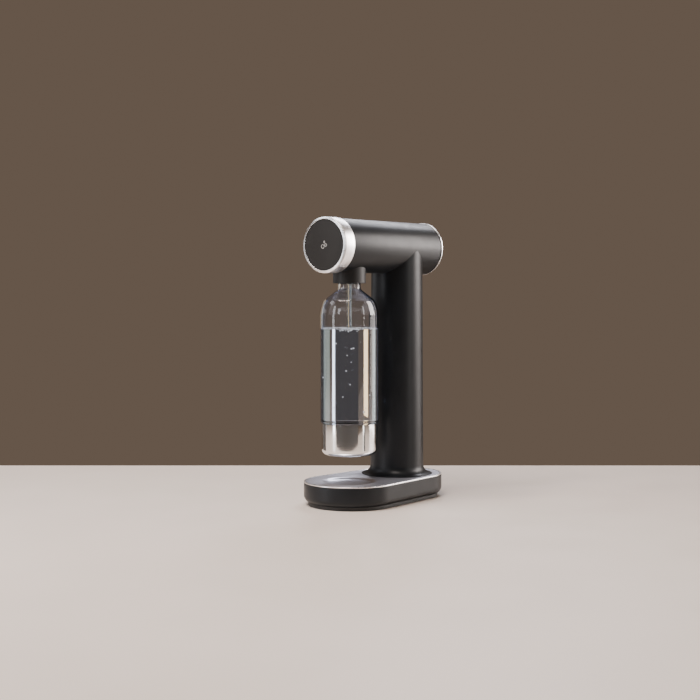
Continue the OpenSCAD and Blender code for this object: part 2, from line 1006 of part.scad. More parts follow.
// Tube that takes the gas from the valve block to the nozzle block
module gas_tube() {
    color("#d0d0d0")
        union() {
            gas_stub(column_y, block_neck_r + 0.2);
            gas_bend(column_y, -1);
            translate([gas_x, bottle_y + gas_bend_r, gas_z])
                rotate([-90, 0, 0])
                    tube_z(gas_r, gas_bore_r, 0, reach - 2 * gas_bend_r);
            gas_bend(bottle_y, 1);
            gas_stub(bottle_y, gas_inlet_x + 0.2);
        }
}

// Hexagon fittings at both ends of the gas tube
module gas_fittings() {
    color("#b08d4c")
        for (p = [[column_y, block_neck_r], [bottle_y, gas_inlet_x]])
            translate([p[1], p[0], gas_z])
                rotate([0, 90, 0])
                    difference() {
                        cylinder(r = fitting_r, h = fitting_l, $fn = 6);
                        rod_z(gas_r + 0.02, -1, fitting_l + 1);
                    }
}

// ---------- bottle side ----------

// Block over the bottle that feeds the carbonating tube
module nozzle_block() {
    color("#dadad4")
        translate([0, bottle_y, 0])
            difference() {
                union() {
                    rod_z(nozzle_stem_r, stem_z, holder_ceiling + eps);
                    rod_z(nozzle_r, holder_ceiling, chassis_top + eps);
                    rod_z(nozzle_flange_r, chassis_top, chassis_top + nozzle_flange_t);
                    rod_z(gas_inlet_x, chassis_top, nozzle_top);
                }
                rod_z(tube_r + 0.02, stem_z - 1, stem_z + 10);
                rod_z(tube_bore_r, stem_z, gas_z);
                translate([0, 0, gas_z])
                    rotate([0, 90, 0])
                        cylinder(r = gas_bore_r, h = 20);
                for (a = screw_angles)
                    rotate([0, 0, a])
                        translate([nozzle_screw_r, 0, 0])
                            rod_z(screw_hole_r, chassis_top - 1, chassis_top + nozzle_flange_t + 1);
            }
}

// Screws through the nozzle block and the chassis into the bottle holder
module nozzle_screws() {
    top = chassis_top + nozzle_flange_t;
    color("#8d8d90")
        for (a = screw_angles)
            translate([nozzle_screw_r * cos(a), bottle_y + nozzle_screw_r * sin(a), top + screw_head_t])
                screw_down(chassis_t + screw_bite);
}

// Pressure relief valve on top of the nozzle block
module relief_valve() {
    color("#b08d4c")
        translate([0, bottle_y, 0])
            union() {
                translate([0, 0, nozzle_top])
                    cylinder(r = 5.5, h = 5, $fn = 6);
                rod_z(3.5, nozzle_top + 5 - eps, nozzle_top + 11);
                rod_z(1.2, nozzle_top + 11 - eps, nozzle_top + 13);
            }
}

// Black collar under the head that holds the bottle's neck
module bottle_holder() {
    color("#1f1f22")
        difference() {
            union() {
                difference() {
                    translate([0, bottle_y, 0])
                        rod_z(collar_r, collar_z, head_z);
                    rod_y(saddle_r, bottle_y - 60, bottle_y + 60, 0, head_z);
                }
                translate([0, bottle_y, 0])
                    rod_z(holder_neck_r, collar_z + 10, chassis_z);
            }
            translate([0, bottle_y, 0]) {
                rod_z(holder_bore_r, collar_z - 1, holder_ceiling);
                rod_z(nozzle_r + fit, holder_ceiling - 1, chassis_z + 1);
                for (a = screw_angles)
                    rotate([0, 0, a])
                        translate([nozzle_screw_r, 0, 0])
                            rod_z(screw_pilot_r, chassis_z - screw_bite - pilot_end, chassis_z + 1);
            }
        }
}

// Steel insert in the collar, with grooves for the bottle's thread
module holder_insert() {
    z0 = collar_z + 0.6;
    z1 = mouth_z - 0.2;
    color("#a9a9ad")
        translate([0, bottle_y, 0])
            rotate_extrude()
                difference() {
                    translate([neck_r + 1.3, z0])
                        square([2.5, z1 - z0]);
                    for (k = [0.25, 0.5, 0.75])
                        translate([neck_r + 1.3, z0 + k * (z1 - z0)])
                            circle(r = 0.9);
                }
}

// Rubber ring that the bottle's mouth presses on
module bottle_seal() {
    color("#b8b4a8")
        translate([0, bottle_y, 0])
            tube_z(holder_bore_r - fit, nozzle_stem_r + 0.1, seal_z, holder_ceiling);
}

// Clear tube that reaches down into the bottle
module carbonating_tube() {
    color("#dfe6e2")
        translate([0, bottle_y, 0])
            tube_z(tube_r, tube_bore_r, tube_tip_z + tip_h, stem_z + 10);
}

// Nozzle at the tube's end, with a fine outlet
module nozzle_tip() {
    color("#c9cfcc")
        translate([0, bottle_y, 0])
            difference() {
                union() {
                    rod_z(tube_r, tube_tip_z + 1.5, tube_tip_z + tip_h);
                    translate([0, 0, tube_tip_z])
                        cylinder(r1 = tube_r - 1.5, r2 = tube_r, h = 1.5 + eps);
                }
                rod_z(0.6, tube_tip_z - 1, tube_tip_z + tip_h + 1);
                rod_z(tube_bore_r, tube_tip_z + 3, tube_tip_z + tip_h + 1);
            }
}

// ---------- gas cylinder ----------

// Outline of the vessel: straight wall, round base edge, domed shoulder and neck
module vessel_outline(inset) {
    base_r = 8;
    dome_z = vessel_top - vessel_neck_h - vessel_dome_r;
    union() {
        translate([0, vessel_z + base_r])
            square([cylinder_r - inset, dome_z - vessel_z - base_r]);
        translate([0, vessel_z + inset])
            square([cylinder_r - base_r, base_r]);
        translate([cylinder_r - base_r, vessel_z + base_r])
            circle(r = base_r - inset);
        translate([0, dome_z - eps])
            square([cylinder_r - vessel_dome_r, vessel_dome_r - inset]);
        translate([cylinder_r - vessel_dome_r, dome_z])
            intersection() {
                circle(r = vessel_dome_r - inset);
                translate([0, -eps])
                    square(vessel_dome_r);
            }
    }
}

// Refillable gas cylinder
module cylinder_vessel() {
    color("#5b6670")
        translate([0, column_y, 0])
            rotate_extrude()
                difference() {
                    union() {
                        vessel_outline(0);
                        translate([0, vessel_top - vessel_neck_h - 6])
                            square([vessel_neck_r, vessel_neck_h + 6]);
                    }
                    difference() {
                        vessel_outline(vessel_wall);
                        translate([-100, 0])
                            square([100, head_z]);
                    }
                    translate([0, vessel_top - vessel_neck_h - 10])
                        square([vessel_mouth_r, vessel_neck_h + 11]);
                }
}

// Brass valve of the gas cylinder, with the thread that screws into the block
module cylinder_valve() {
    color("#b79a57")
        translate([0, column_y, 0])
            difference() {
                union() {
                    rod_z(vessel_mouth_r - 0.02, vessel_top - vessel_neck_h - 4, vessel_top + eps);
                    rod_z(vessel_neck_r, vessel_top, block_z - shoulder_gap);
                    rod_z(valve_thread_r, block_z - shoulder_gap - eps, valve_top);
                }
                rod_z(valve_bore_r, valve_top - valve_bore_depth, valve_top + 1);
                rod_z(1, vessel_top - 20, valve_top);
            }
}

// Core inside the valve that the plunger presses
module valve_core() {
    z = valve_top - valve_bore_depth;
    color("#c2c2c5")
        translate([0, column_y, 0])
            rod_z(valve_bore_r - run_gap, z, valve_top - stem_reach - plunger_travel - touch_gap);
}

// ---------- bottle ----------

// Right half of the bottle's outline, shrunk by an inset
module bottle_outline(inset) {
    union() {
        translate([0, bottle_step_z + inset])
            square([bottle_r - inset, dome_z - bottle_step_z - inset]);
        translate([0, bottle_floor_z + foot_edge_r])
            square([foot_r - inset, bottle_step_z + inset + eps - bottle_floor_z - foot_edge_r]);
        translate([0, bottle_floor_z + inset])
            square([foot_r - foot_edge_r, foot_edge_r]);
        translate([foot_r - foot_edge_r, bottle_floor_z + foot_edge_r])
            intersection() {
                circle(r = foot_edge_r - inset);
                translate([0, -foot_edge_r])
                    square([foot_edge_r, foot_edge_r + eps]);
            }
        intersection() {
            translate([dome_x, dome_z])
                circle(r = shoulder_r - inset);
            translate([0, dome_z - eps])
                square(shoulder_r + dome_x);
        }
        difference() {
            polygon([[0, dome_z], [dome_x, dome_z], [fillet_x, neck_z], [0, neck_z]]);
            translate([fillet_x, neck_z])
                circle(r = neck_fillet_r + inset);
        }
    }
}

// Clear bottle with a thread on its neck
module bottle_body() {
    color("#cfdbe6")
        translate([0, bottle_y, 0])
            rotate_extrude()
                difference() {
                    union() {
                        bottle_outline(0);
                        translate([0, neck_z - 1])
                            square([neck_r, mouth_z - neck_z + 1]);
                        for (k = [0.45, 0.7])
                            translate([neck_r - 0.3, neck_z + k * neck_h])
                                circle(r = thread_bead_r);
                    }
                    bottle_outline(bottle_wall);
                    translate([0, neck_z - 3])
                        square([mouth_r, neck_h + 5]);
                }
}

// Steel cup that the bottle stands in
module bottle_cup() {
    color("#c4c4c8")
        translate([0, bottle_y, 0])
            rotate_extrude()
                difference() {
                    cup_outline(0);
                    cup_outline(cup_wall);
                }
}

// Right half of the cup's outline, shrunk by an inset and open at the top
module cup_outline(inset) {
    union() {
        translate([0, bottle_z + cup_edge_r])
            square([cup_r - inset, cup_h - cup_edge_r + inset]);
        translate([0, bottle_z + inset])
            square([cup_r - cup_edge_r, cup_edge_r]);
        translate([cup_r - cup_edge_r, bottle_z + cup_edge_r])
            circle(r = cup_edge_r - inset);
    }
}

base_shell();
base_trim_ring();
base_plate();
foot_ring();
bottom_cover();
base_screws();
cylinder_door();
column_shell();
column_screws();
cylinder_guides();
head_shell();
front_band();
front_ring();
back_cap();
back_ring();
head_chassis();
chassis_screws();
button_disc();
button_body();
push_rod();
rod_clip();
lever();
lever_pin();
valve_block();
valve_block_screws();
cylinder_seal();
plunger();
plunger_spring();
gas_tube();
gas_fittings();
nozzle_block();
nozzle_screws();
relief_valve();
bottle_holder();
holder_insert();
bottle_seal();
carbonating_tube();
nozzle_tip();
cylinder_vessel();
cylinder_valve();
valve_core();
bottle_body();
bottle_cup();
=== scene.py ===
"""Looks of the soda carbonator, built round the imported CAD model.

Lengths are in metres, +Z is up and -Y is the front.
"""

import json
import math
import random

import bmesh
import bpy
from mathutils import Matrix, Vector

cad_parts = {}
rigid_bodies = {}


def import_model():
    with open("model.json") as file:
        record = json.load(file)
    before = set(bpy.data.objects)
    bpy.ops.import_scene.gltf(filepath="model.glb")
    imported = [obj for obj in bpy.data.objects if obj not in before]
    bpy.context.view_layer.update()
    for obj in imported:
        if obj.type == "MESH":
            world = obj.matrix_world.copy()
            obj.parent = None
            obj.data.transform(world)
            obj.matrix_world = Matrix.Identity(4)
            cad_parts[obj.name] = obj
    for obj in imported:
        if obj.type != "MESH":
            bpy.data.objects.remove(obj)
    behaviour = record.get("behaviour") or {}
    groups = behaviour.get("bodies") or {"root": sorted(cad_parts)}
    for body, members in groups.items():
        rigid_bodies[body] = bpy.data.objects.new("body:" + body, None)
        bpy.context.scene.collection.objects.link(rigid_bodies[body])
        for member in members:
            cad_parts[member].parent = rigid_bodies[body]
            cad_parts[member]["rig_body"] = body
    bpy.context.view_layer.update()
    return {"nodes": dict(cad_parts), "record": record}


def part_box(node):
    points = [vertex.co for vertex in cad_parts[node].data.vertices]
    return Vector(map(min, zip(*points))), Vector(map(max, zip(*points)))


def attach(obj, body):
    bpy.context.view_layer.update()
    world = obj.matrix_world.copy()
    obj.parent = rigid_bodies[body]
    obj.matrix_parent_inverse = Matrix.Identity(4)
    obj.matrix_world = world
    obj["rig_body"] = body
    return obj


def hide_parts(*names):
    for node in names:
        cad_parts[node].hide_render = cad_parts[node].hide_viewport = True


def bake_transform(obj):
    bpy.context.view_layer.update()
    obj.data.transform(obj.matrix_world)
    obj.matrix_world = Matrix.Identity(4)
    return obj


MM = 0.001
TURN = 2 * math.pi

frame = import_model()


# ---------- places and sizes, read from the frame ----------


def centre(node):
    low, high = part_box(node)
    return (low + high) / 2


def half_width(node):
    low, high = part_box(node)
    return (high.x - low.x) / 2


def top_of(node):
    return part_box(node)[1].z


def bottom_of(node):
    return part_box(node)[0].z


def front_of(node):
    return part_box(node)[0].y


def back_of(node):
    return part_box(node)[1].y


SHELL_WALL = 2.4 * MM
REAR_MARGIN = 8.8 * MM

COLUMN_Y = centre("cylinder_vessel").y
BOTTLE_Y = centre("bottle_cup").y
HEAD_Z = centre("front_band").z
HEAD_R = half_width("front_band")
SHELL_R = half_width("head_shell")
BORE_R = SHELL_R - SHELL_WALL
FLARE_R = half_width("column_shell")
PLATE_TOP = top_of("base_plate")
SOLE_TOP = bottom_of("base_shell")
RIM_TOP = top_of("base_trim_ring")
RIM_BOTTOM = bottom_of("base_trim_ring")
FRONT_R = half_width("base_shell")
BACK_R = FLARE_R + REAR_MARGIN
FRONT_C = front_of("base_shell") + FRONT_R
BACK_C = back_of("base_shell") - BACK_R
TAPER = math.asin((FRONT_R - BACK_R) / (BACK_C - FRONT_C))


# ---------- mesh building ----------

MERGE = 1e-7
ROUND_SEGMENTS = 224
SHARP = 32


def arc(centre_u, centre_v, radius, start, end, steps):
    """Points on an arc, with its angles in degrees."""
    points = []
    for k in range(steps + 1):
        a = math.radians(start + (end - start) * k / steps)
        points.append((centre_u + radius * math.cos(a), centre_v + radius * math.sin(a)))
    return points


def rounded(corners, steps=6):
    """An outline through (u, v, radius) corners, each rounded by its own radius."""
    points = []
    for i, (u, v, radius) in enumerate(corners):
        here = Vector((u, v))
        if radius <= 0:
            points.append((u, v))
            continue
        before = (Vector(corners[i - 1][:2]) - here).normalized()
        after = (Vector(corners[(i + 1) % len(corners)][:2]) - here).normalized()
        half = before.angle(after) / 2
        middle = here + (before + after).normalized() * radius / math.sin(half)
        start = here + before * radius / math.tan(half) - middle
        end = here + after * radius / math.tan(half) - middle
        first = math.degrees(math.atan2(start.y, start.x))
        turn = math.degrees(math.atan2(end.y, end.x)) - first
        turn = (turn + 180) % 360 - 180
        points += arc(middle.x, middle.y, radius, first, first + turn, steps)
    return points


def place_object(name, data):
    """An object of this data, linked to the scene."""
    made = bpy.data.objects.new(name, data)
    bpy.context.scene.collection.objects.link(made)
    return made


def soften(mesh, sharp):
    """Smooth shading, apart from the edges sharper than an angle in degrees."""
    mesh.shade_smooth()
    mesh.set_sharp_from_angle(angle=math.radians(sharp))


def make_mesh(name, verts, faces, sharp=SHARP):
    """A smooth-shaded object with its normals outward and its real edges sharp."""
    mesh = bpy.data.meshes.new(name)
    mesh.from_pydata(verts, [], faces)
    clean = bmesh.new()
    clean.from_mesh(mesh)
    bmesh.ops.remove_doubles(clean, verts=clean.verts, dist=MERGE)
    bmesh.ops.recalc_face_normals(clean, faces=clean.faces)
    clean.to_mesh(mesh)
    clean.free()
    soften(mesh, sharp)
    return place_object(name, mesh)


def skin(rings, closed):
    """Faces between rings of vertex numbers; a ring of one vertex is a pole."""
    faces = []
    pairs = list(zip(rings, rings[1:]))
    if closed:
        pairs.append((rings[-1], rings[0]))
    for a, b in pairs:
        count = max(len(a), len(b))
        for i in range(count):
            j = (i + 1) % count
            if len(a) == 1 and len(b) == 1:
                continue
            if len(a) == 1:
                faces.append((a[0], b[j], b[i]))
            elif len(b) == 1:
                faces.append((a[i], a[j], b[0]))
            else:
                faces.append((a[i], a[j], b[j], b[i]))
    return faces


def lathe(name, outline, x=0.0, y=0.0, z=0.0, along="Z", closed=True, segments=160):
    """Turns an outline of (radius, place along the axis) round an upright axis or one along Y."""
    verts = []
    rings = []
    for radius, place in outline:
        count = 1 if radius < MERGE else segments
        ring = []
        for i in range(count):
            a = TURN * i / segments
            across = radius * math.cos(a)
            up = radius * math.sin(a)
            ring.append(len(verts))
            verts.append((x + across, y + up, place) if along == "Z" else (x + across, place, z + up))
        rings.append(ring)
    return make_mesh(name, verts, skin(rings, closed))


def pill_ring(inset):
    """The base's outline, shrunk by an inset: two arcs and their tangent sides."""
    degrees = math.degrees(TAPER)
    points = arc(0, FRONT_C, FRONT_R - inset, 180 - degrees, 360 + degrees, 120)
    points += arc(0, BACK_C, BACK_R - inset, degrees, 180 - degrees, 108)
    return points


def pill_loft(name, outline, closed=True):
    """Carries an outline of (inset, height) round the base."""
    verts = []
    rings = []
    for inset, height in outline:
        ring = []
        for px, py in pill_ring(inset):
            ring.append(len(verts))
            verts.append((px, py, height))
        rings.append(ring)
    return make_mesh(name, verts, skin(rings, closed))


def saddle_z(px):
    """Height of the head shell's underside over a given X."""
    return HEAD_Z - math.sqrt(SHELL_R**2 - min(abs(px), SHELL_R) ** 2)


def saddle_tube(name, outer, bore, x, y, rows=40, segments=192):
    """An upright tube whose top meets the head's round underside.

    outer is its outline of (radius, height), bottom up."""
    verts = []
    rings = []

    def add(radius, height_at):
        ring = []
        for i in range(segments):
            a = TURN * i / segments
            px = radius * math.cos(a)
            ring.append(len(verts))
            verts.append((x + px, y + radius * math.sin(a), height_at(px)))
        rings.append(ring)

    last_r, last_z = outer[-1]
    add(bore, lambda px: outer[0][1])
    for radius, height in outer:
        add(radius, lambda px, h=height: h)
    top_r = min(last_r, SHELL_R - 0.4 * MM)
    for k in range(1, rows + 1):
        share = k / rows
        radius = last_r + (top_r - last_r) * share
        add(radius, lambda px, s=share: last_z + (saddle_z(px) - last_z) * s)
    add(bore, lambda px: saddle_z(px * top_r / bore) + 0.3 * MM)
    return make_mesh(name, verts, skin(rings, True), sharp=40)


# ---------- materials ----------

# A noise lies mostly between these two values
NOISE_LOW = 0.3
NOISE_HIGH = 0.7


class Paint:
    """A node material for one slot, with helpers for its noise, roughness, colour and bump."""

    def __init__(self, slot, colour, roughness, metallic=0.0):
        self.slot = slot
        self.material = bpy.data.materials.new(slot)
        self.material.use_nodes = True
        self.tree = self.material.node_tree
        self.shader = self.tree.nodes["Principled BSDF"]
        self.set("Base Color", (*colour, 1))
        self.set("Roughness", roughness)
        self.set("Metallic", metallic)

    def set(self, socket, value):
        self.shader.inputs[socket].default_value = value

    def node(self, kind, **settings):
        made = self.tree.nodes.new(kind)
        for key, value in settings.items():
            setattr(made, key, value)
        return made

    def link(self, a, b):
        self.tree.links.new(a, b)

    def noise(self, scale, stretch=(1, 1, 1), detail=3.0, roughness=0.5):
        """Noise in the row frame's own metres, stretched along the axes."""
        coords = self.node("ShaderNodeTexCoord")
        mapping = self.node("ShaderNodeMapping")
        mapping.inputs["Scale"].default_value = stretch
        noise = self.node("ShaderNodeTexNoise")
        noise.inputs["Scale"].default_value = scale
        noise.inputs["Detail"].default_value = detail
        noise.inputs["Roughness"].default_value = roughness
        self.link(coords.outputs["Object"], mapping.inputs["Vector"])
        self.link(mapping.outputs["Vector"], noise.inputs["Vector"])
        return noise.outputs["Fac"]

    def remap(self, value, start, end, low, high):
        """Carries a number over from start..end to low..high."""
        spread = self.node("ShaderNodeMapRange")
        spread.inputs["From Min"].default_value = start
        spread.inputs["From Max"].default_value = end
        spread.inputs["To Min"].default_value = low
        spread.inputs["To Max"].default_value = high
        self.link(value, spread.inputs["Value"])
        return spread.outputs["Result"]

    def vary(self, socket, fac, low, high):
        """Drives a number between low and high by a noise."""
        self.link(self.remap(fac, NOISE_LOW, NOISE_HIGH, low, high), self.shader.inputs[socket])

    def tint(self, fac, dark, light, start=NOISE_LOW, end=NOISE_HIGH):
        """Drives the colour between two shades, as a number goes from start to end."""
        ramp = self.node("ShaderNodeValToRGB")
        first, last = ramp.color_ramp.elements
        first.position = start
        first.color = (*dark, 1)
        last.position = end
        last.color = (*light, 1)
        self.link(fac, ramp.inputs["Fac"])
        self.link(ramp.outputs["Color"], self.shader.inputs["Base Color"])

    def bump(self, fac, strength, depth):
        """Adds relief of the given depth, in metres."""
        bump = self.node("ShaderNodeBump")
        bump.inputs["Strength"].default_value = strength
        bump.inputs["Distance"].default_value = depth
        self.link(fac, bump.inputs["Height"])
        self.link(bump.outputs["Normal"], self.shader.inputs["Normal"])


def moulded(slot, dark, light, rough, grain=2600, relief=0.05, gloss=0.3):
    """Moulded plastic: fine grain, and faint variation in colour and gloss."""
    paint = Paint(slot, light, rough)
    paint.set("Specular IOR Level", gloss)
    paint.tint(paint.noise(26), dark, light)
    paint.vary("Roughness", paint.noise(90, detail=5), rough - 0.035, rough + 0.035)
    paint.bump(paint.noise(grain, detail=2), 0.3, relief * MM)
    return paint


def brushed(slot, dark, light, rough, lines, relief=0.02):
    """Brushed metal: lines is the noise's stretch, high across the brushing."""
    paint = Paint(slot, light, rough, 1.0)
    streaks = paint.noise(1.0, stretch=lines, detail=4, roughness=0.6)
    paint.tint(paint.noise(1.0, stretch=tuple(v * 0.45 for v in lines), detail=3), dark, light)
    paint.vary("Roughness", streaks, rough - 0.06, rough + 0.06)
    paint.bump(streaks, 0.35, relief * MM)
    return paint


def polished(slot, colour, rough):
    """Polished metal with the faint haze of handling."""
    paint = Paint(slot, colour, rough, 1.0)
    paint.tint(paint.noise(60), tuple(c * 0.94 for c in colour), colour)
    paint.vary("Roughness", paint.noise(180, detail=6), rough - 0.03, rough + 0.05)
    return paint


def turned(slot, dark, light, rough):
    """Machined metal with fine tool marks."""
    paint = Paint(slot, light, rough, 1.0)
    paint.tint(paint.noise(140), dark, light)
    paint.vary("Roughness", paint.noise(900, detail=4), rough - 0.06, rough + 0.08)
    paint.bump(paint.noise(1.0, stretch=(300, 300, 5200), detail=2), 0.3, 0.02 * MM)
    return paint


def clear(slot, tint, ior, rough, edge=None):
    """Clear plastic or water; edge is the shade where it is seen along its wall."""
    paint = Paint(slot, tint, rough)
    if edge:
        facing = paint.node("ShaderNodeLayerWeight")
        facing.inputs["Blend"].default_value = 0.35
        paint.tint(facing.outputs["Facing"], tint, edge, start=0.25, end=1.0)
    paint.set("Transmission Weight", 1.0)
    paint.set("IOR", ior)
    paint.bump(paint.noise(38, detail=1), 0.06, 0.12 * MM)
    return paint


def rubbery(slot, colour, rough):
    """Rubber with a fine grain."""
    paint = Paint(slot, colour, rough)
    paint.tint(paint.noise(70), tuple(c * 0.8 for c in colour), colour)
    paint.bump(paint.noise(1500, detail=3), 0.35, 0.08 * MM)
    return paint


SLOTS = {paint.slot: paint for paint in (
    moulded("black_shell", (0.0072, 0.009, 0.0115), (0.0106, 0.013, 0.0164), 0.38, gloss=0.26),
    moulded("dark_plastic", (0.014, 0.014, 0.015), (0.021, 0.021, 0.022), 0.48),
    moulded("guide_plastic", (0.6, 0.6, 0.57), (0.72, 0.72, 0.69), 0.5),
    moulded("button_face", (0.0185, 0.0175, 0.017), (0.0225, 0.0213, 0.0207), 0.5,
            grain=1800, relief=0.03, gloss=0.2),
    moulded("cylinder_paint", (0.11, 0.15, 0.2), (0.14, 0.19, 0.25), 0.3, grain=700, relief=0.02),
    polished("polished_rim", (0.93, 0.93, 0.94), 0.28),
    brushed("brushed_band", (0.8, 0.79, 0.79), (0.95, 0.94, 0.94), 0.32, (24, 2600, 24)),
    brushed("steel_plate", (0.66, 0.67, 0.76), (0.82, 0.83, 0.92), 0.36, (2600, 18, 60)),
    brushed("cup_steel", (0.72, 0.72, 0.71), (0.9, 0.9, 0.89), 0.09, (20, 20, 3000), relief=0.008),
    turned("chassis_metal", (0.36, 0.37, 0.38), (0.5, 0.51, 0.52), 0.45),
    turned("lever_metal", (0.4, 0.41, 0.42), (0.55, 0.56, 0.57), 0.4),
    turned("screw_steel", (0.45, 0.45, 0.45), (0.6, 0.6, 0.6), 0.3),
    turned("rod_steel", (0.55, 0.55, 0.55), (0.7, 0.7, 0.7), 0.22),
    turned("insert_steel", (0.5, 0.5, 0.5), (0.66, 0.66, 0.66), 0.28),
    turned("valve_brass", (0.6, 0.42, 0.18), (0.76, 0.56, 0.27), 0.28),
    rubbery("foot_rubber", (0.018, 0.018, 0.018), 0.6),
    rubbery("seal_rubber", (0.03, 0.03, 0.03), 0.55),
    clear("clear_bottle", (0.94, 0.96, 0.985), 1.5, 0.015, edge=(0.22, 0.4, 0.9)),
    clear("clear_tube", (0.97, 0.98, 0.97), 1.49, 0.03),
)}
WATER = clear("water", (0.985, 0.995, 1.0), 1.33, 0.0)
MARK = moulded("button_mark", (0.55, 0.55, 0.54), (0.68, 0.68, 0.67), 0.45)
FOAM = clear("bubbles", (1.0, 1.0, 1.0), 1.2, 0.05)
# Foam is opaque here, and a faint glow stands in for the light that it scatters
FOAM.set("Transmission Weight", 0.0)
FOAM.set("Emission Color", (1, 1, 1, 1))
FOAM.set("Emission Strength", 0.45)


def smooth_dish_and_paint_shade(plate):
    """Makes the pressed dish smoother than the brushed plate round it, and darker with painted shade
    under the bottle.
    """
    base_colour = plate.shader.inputs["Base Color"]
    coords = plate.node("ShaderNodeTexCoord")
    away = plate.node("ShaderNodeVectorMath", operation="DISTANCE")
    away.inputs[1].default_value = (0, BOTTLE_Y, PLATE_TOP)
    plate.link(coords.outputs["Object"], away.inputs[0])
    distance = away.outputs["Value"]
    roughness = plate.remap(distance, 33 * MM, 41 * MM, 0.28, 0.36)
    plate.link(roughness, plate.shader.inputs["Roughness"])
    # Painted shade: the dish's colour is halved under the bottle and back to full at its lip
    shade = plate.remap(distance, 30 * MM, 40 * MM, 0.5, 1.0)
    dim = plate.node("ShaderNodeVectorMath", operation="SCALE")
    plate.link(base_colour.links[0].from_socket, dim.inputs[0])
    plate.link(shade, dim.inputs["Scale"])
    plate.link(dim.outputs["Vector"], base_colour)


def tint_walls(plastic):
    """Makes clear plastic bluer where the eye looks along its wall."""
    depth = plastic.node("ShaderNodeVolumeAbsorption")
    depth.inputs["Color"].default_value = (0.25, 0.5, 1.0, 1)
    depth.inputs["Density"].default_value = 60.0
    plastic.link(depth.outputs["Volume"], plastic.tree.nodes["Material Output"].inputs["Volume"])


# Smoother dish, with painted shade under the bottle
smooth_dish_and_paint_shade(SLOTS["steel_plate"])
tint_walls(SLOTS["clear_bottle"])


def dress(piece, paint):
    """Gives the piece a paint as its only material."""
    piece.data.materials.clear()
    piece.data.materials.append(paint.material)


def slot_of(node):
    """The material slot of a CAD node in the record."""
    return next(s["material_slot"] for s in frame["record"]["subparts"] if s["node"] == node)


def stand_for(piece, node):
    """The piece takes the place and the finish of a CAD node, and rides on its body."""
    slot = slot_of(node)
    body = frame["nodes"][node]["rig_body"]
    dress(piece, SLOTS[slot])
    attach(piece, body)
    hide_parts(node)


def dress_cad_nodes():
    """Gives every CAD node the paint of its own slot."""
    for entry in frame["record"]["subparts"]:
        dress(frame["nodes"][entry["node"]], SLOTS[entry["material_slot"]])


# ---------- base ----------

PLATE_T = 1.0 * MM


def base_shell():
    """Housing with a rounded lower edge, and a step at its top for the rim and the plate."""
    edge = 9 * MM
    sole = 11.3 * MM
    step = 1.8 * MM
    ledge = 6.0 * MM
    wall = 3.0 * MM
    wall_top = RIM_BOTTOM - 1.0 * MM
    deck = PLATE_TOP - PLATE_T
    ledge_low = deck - 2.6 * MM
    wall_high = deck - 3.2 * MM
    outline = rounded([
        (sole, SOLE_TOP, 0),
        (0.0, SOLE_TOP, edge),
        (0.0, wall_top, 0.25 * MM),
        (step, wall_top, 0.1 * MM),
        (step, deck, 0.1 * MM),
        (ledge, deck, 0),
        (ledge, ledge_low, 0),
        (wall, wall_high, 0),
        (wall, SOLE_TOP + edge, 0),
        (sole, SOLE_TOP + edge, 0),
    ], 12)
    stand_for(pill_loft("base_housing", outline), "base_shell")


def base_rim():
    """Polished ring round the plate."""
    outer = 0.3 * MM
    inner = 2.9 * MM
    outline = rounded([
        (outer, RIM_BOTTOM, 0.12 * MM),
        (outer, RIM_TOP, 0.55 * MM),
        (inner, RIM_TOP, 0.25 * MM),
        (inner, RIM_BOTTOM, 0),
    ], 5)
    stand_for(pill_loft("base_rim", outline), "base_trim_ring")


def base_foot():
    """Rubber ring that the machine stands on."""
    outer = 6.3 * MM
    inner = 14.8 * MM
    edge = 0.8 * MM
    outline = rounded([
        (outer, SOLE_TOP, 0),
        (outer, 0.0, edge),
        (inner, 0.0, edge),
        (inner, SOLE_TOP, 0),
    ], 5)
    stand_for(pill_loft("foot_pad", outline), "foot_ring")


def base_plate():
    """Steel sheet with a soft-lipped dish and a hole for the column."""
    edge = 3.3 * MM
    soft = 0.35 * MM
    soft_steps = 4
    dish_steps = 14
    dish_r = 39.6 * MM
    floor_r = 33.0 * MM
    depth = 3.0 * MM
    hole_r = 38.4 * MM
    built = bmesh.new()

    def loop(points, height):
        verts = [built.verts.new((px, py, height)) for px, py in points]
        edges = [built.edges.new((verts[i - 1], verts[i])) for i in range(len(verts))]
        return verts, edges

    def join(a, b):
        for i in range(len(a)):
            built.faces.new((a[i - 1], a[i], b[i], b[i - 1]))

    def circle(cy, radius, count):
        angles = [TURN * i / count for i in range(count)]
        return [(radius * math.cos(a), cy + radius * math.sin(a)) for a in angles]

    rim = []
    for k in range(soft_steps + 1):
        a = math.pi / 2 * k / soft_steps
        outline = pill_ring(edge + soft - soft * math.cos(a))
        rim.append(loop(outline, PLATE_TOP - soft + soft * math.sin(a)))
    for a, b in zip(rim, rim[1:]):
        join(a[0], b[0])
    dish = []
    for k in range(dish_steps + 1):
        share = k / dish_steps
        radius = dish_r + (floor_r - dish_r) * share
        drop = depth * (0.5 - 0.5 * math.cos(math.pi * share))
        dish.append(loop(circle(BOTTLE_Y, radius, 160), PLATE_TOP - drop))
    for a, b in zip(dish, dish[1:]):
        join(a[0], b[0])
    built.faces.new(dish[-1][0])
    hole = loop(circle(COLUMN_Y, hole_r, 128), PLATE_TOP)
    borders = rim[-1][1] + dish[0][1] + hole[1]
    bmesh.ops.triangle_fill(built, edges=borders, use_beauty=True, use_dissolve=False)
    bmesh.ops.recalc_face_normals(built, faces=built.faces)
    mesh = bpy.data.meshes.new("deck_plate")
    built.to_mesh(mesh)
    built.free()
    soften(mesh, SHARP)
    piece = place_object("deck_plate", mesh)
    if max(p.normal.z for p in mesh.polygons) < 0.5:
        mesh.flip_normals()
    sheet = piece.modifiers.new("thickness", "SOLIDIFY")
    sheet.thickness = PLATE_T
    sheet.offset = -1
    stand_for(piece, "base_plate")


# ---------- column, collar and head ----------


